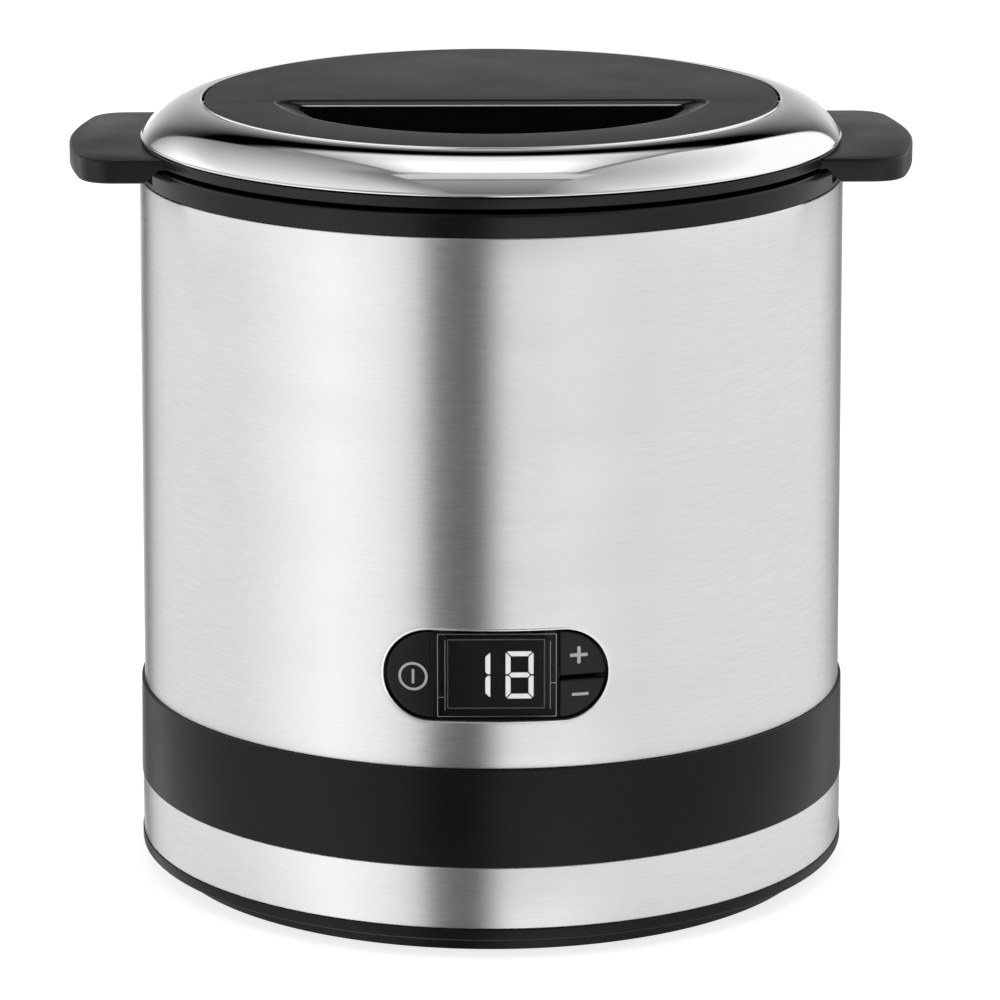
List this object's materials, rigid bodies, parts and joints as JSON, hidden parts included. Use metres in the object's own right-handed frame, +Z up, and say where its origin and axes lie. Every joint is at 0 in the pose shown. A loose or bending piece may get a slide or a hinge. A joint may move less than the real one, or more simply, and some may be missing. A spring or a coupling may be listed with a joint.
{
  "type": "frozen dessert maker",
  "caption": "Compact countertop frozen dessert maker: brushed steel drum with a timer panel, a turning freezer bowl, a hanging paddle and a lugged lid with a half-moon fill opening.",
  "frame": {"origin": "on the table, under the middle of the object", "axes": "+X to the right over the lugs, +Y to the back, +Z up; the control panel faces -Y"},
  "size_m": [0.1778, 0.1518, 0.1656],
  "materials": {
    "brushed_steel": "fine horizontal brushing",
    "chrome_trim": "mirror",
    "black_plastic": "satin",
    "matte_black_plastic": "fine matte texture",
    "gloss_black_plastic": "satin gloss",
    "rubber": "matte",
    "display_window": "clear smoked, polished",
    "aluminium": "satin",
    "bowl_plastic": "smooth",
    "cooling_gel": "translucent",
    "acetal": "smooth",
    "bronze": "sintered",
    "circuit_board": "solder mask",
    "transformer": "taped winding",
    "zinc_steel": "zinc plated",
    "grey_lead": "insulation",
    "red_lead": "insulation"
  },
  "bodies": {
    "base": {"base_pan": "black_plastic", "rubber_foot_1": "rubber", "rubber_foot_2": "rubber", "rubber_foot_3": "rubber", "rubber_foot_4": "rubber", "base_screw_1": "zinc_steel", "base_screw_2": "zinc_steel", "base_screw_3": "zinc_steel", "base_screw_4": "zinc_steel", "lower_steel_band": "brushed_steel", "black_band": "black_plastic", "cord_gland": "rubber", "upper_steel_shell": "brushed_steel", "inner_housing": "black_plastic", "gearbox_plate": "zinc_steel", "gearbox_cover": "matte_black_plastic", "gearbox_screw_1": "zinc_steel", "gearbox_screw_2": "zinc_steel", "gearbox_screw_3": "zinc_steel", "gearbox_screw_4": "zinc_steel", "lower_bush": "bronze", "upper_bush": "bronze", "motor_can": "zinc_steel", "motor_screw_1": "zinc_steel", "motor_screw_2": "zinc_steel", "idler_pin": "zinc_steel", "power_board": "circuit_board", "transformer": "transformer", "capacitor": "gloss_black_plastic", "terminal_block": "circuit_board", "motor_lead_1": "grey_lead", "motor_lead_2": "red_lead", "ribbon_lead": "grey_lead", "panel_frame": "matte_black_plastic", "display_window": "display_window", "control_board": "circuit_board", "display_module": "gloss_black_plastic", "power_switch": "zinc_steel", "plus_switch": "zinc_steel", "minus_switch": "zinc_steel"},
    "drive": {"spindle": "zinc_steel", "spindle_gear": "acetal", "spindle_clip": "zinc_steel", "drive_hub": "matte_black_plastic"},
    "idler": {"idler_gear": "acetal"},
    "rotor": {"motor_shaft": "zinc_steel", "motor_pinion": "bronze"},
    "bowl": {"bowl_outer": "bowl_plastic", "bowl_liner": "aluminium", "cooling_gel": "cooling_gel", "bowl_rim": "bowl_plastic", "drive_socket": "matte_black_plastic"},
    "lid": {"lid_body": "black_plastic", "chrome_ring": "chrome_trim", "lid_insert": "matte_black_plastic"},
    "paddle": {"paddle": "bowl_plastic"},
    "power_key": {"power_button": "gloss_black_plastic"},
    "plus_key": {"plus_button": "gloss_black_plastic"},
    "minus_key": {"minus_button": "gloss_black_plastic"}
  },
  "joints": [
    {"name": "bowl_drive", "type": "hinge", "parent": "base", "child": "drive", "pos_m": [0, 0, 0.05], "axis": [0, 0, 1], "continuous": true},
    {"name": "idler_spin", "type": "hinge", "parent": "base", "child": "idler", "pos_m": [0.028, 0, 0.04], "axis": [0, 0, 1], "continuous": true},
    {"name": "motor_spin", "type": "hinge", "parent": "base", "child": "rotor", "pos_m": [0.0488, 0, 0.039], "axis": [0, 0, 1], "continuous": true},
    {"name": "lid_lift", "type": "slide", "parent": "base", "child": "lid", "axis": [0, 0, 1], "range_m": [0, 0.21]},
    {"name": "bowl_lift", "type": "slide", "parent": "drive", "child": "bowl", "axis": [0, 0, 1], "range_m": [0, 0.101]},
    {"name": "paddle_release", "type": "slide", "parent": "lid", "child": "paddle", "axis": [0, 0, -1], "range_m": [0, 0.017]},
    {"name": "power_press", "type": "slide", "parent": "base", "child": "power_key", "axis": [0, 1, 0], "range_m": [0, 0.0005], "stiffness_N_per_m": 800, "springref_m": -0.0005},
    {"name": "plus_press", "type": "slide", "parent": "base", "child": "plus_key", "axis": [0, 1, 0], "range_m": [0, 0.0005], "stiffness_N_per_m": 800, "springref_m": -0.0005},
    {"name": "minus_press", "type": "slide", "parent": "base", "child": "minus_key", "axis": [0, 1, 0], "range_m": [0, 0.0005], "stiffness_N_per_m": 800, "springref_m": -0.0005}
  ],
  "couplings": [
    {"joint": "idler_spin", "follows": "bowl_drive", "ratio": -3.6667},
    {"joint": "motor_spin", "follows": "bowl_drive", "ratio": 12.222},
    {"joint": "bowl_lift", "follows": "lid_lift", "ratio": 0.48},
    {"joint": "paddle_release", "follows": "lid_lift", "ratio": 0.08}
  ]
}
